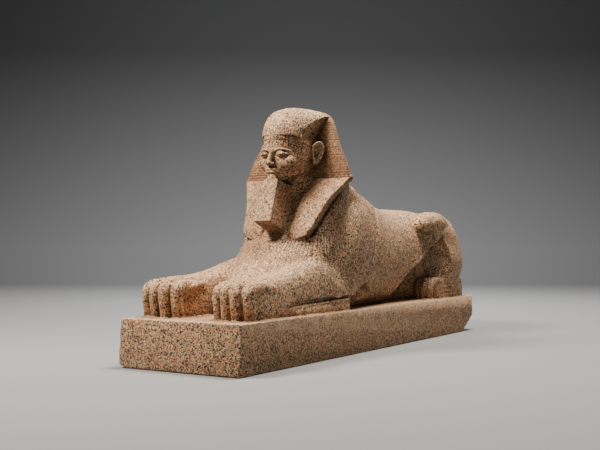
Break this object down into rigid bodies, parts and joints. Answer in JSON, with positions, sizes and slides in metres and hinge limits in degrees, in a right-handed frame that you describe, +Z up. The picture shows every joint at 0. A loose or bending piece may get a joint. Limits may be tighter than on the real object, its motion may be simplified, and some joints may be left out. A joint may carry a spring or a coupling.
{
  "type": "sphinx statue",
  "caption": "Lying sphinx carved from one granite block: lion body, human head in a striped headcloth with a long straight beard, on its own low base.",
  "frame": {"origin": "middle of the underside of the base", "axes": "+Z up, -Y the way the sphinx faces, +X its own left side; length runs along Y"},
  "size_m": [0.87, 3.43, 1.64],
  "materials": {
    "granite": "smooth worked granite, speckled pink, grey and black"
  },
  "bodies": {
    "root": {"sphinx": "granite"}
  },
  "joints": []
}
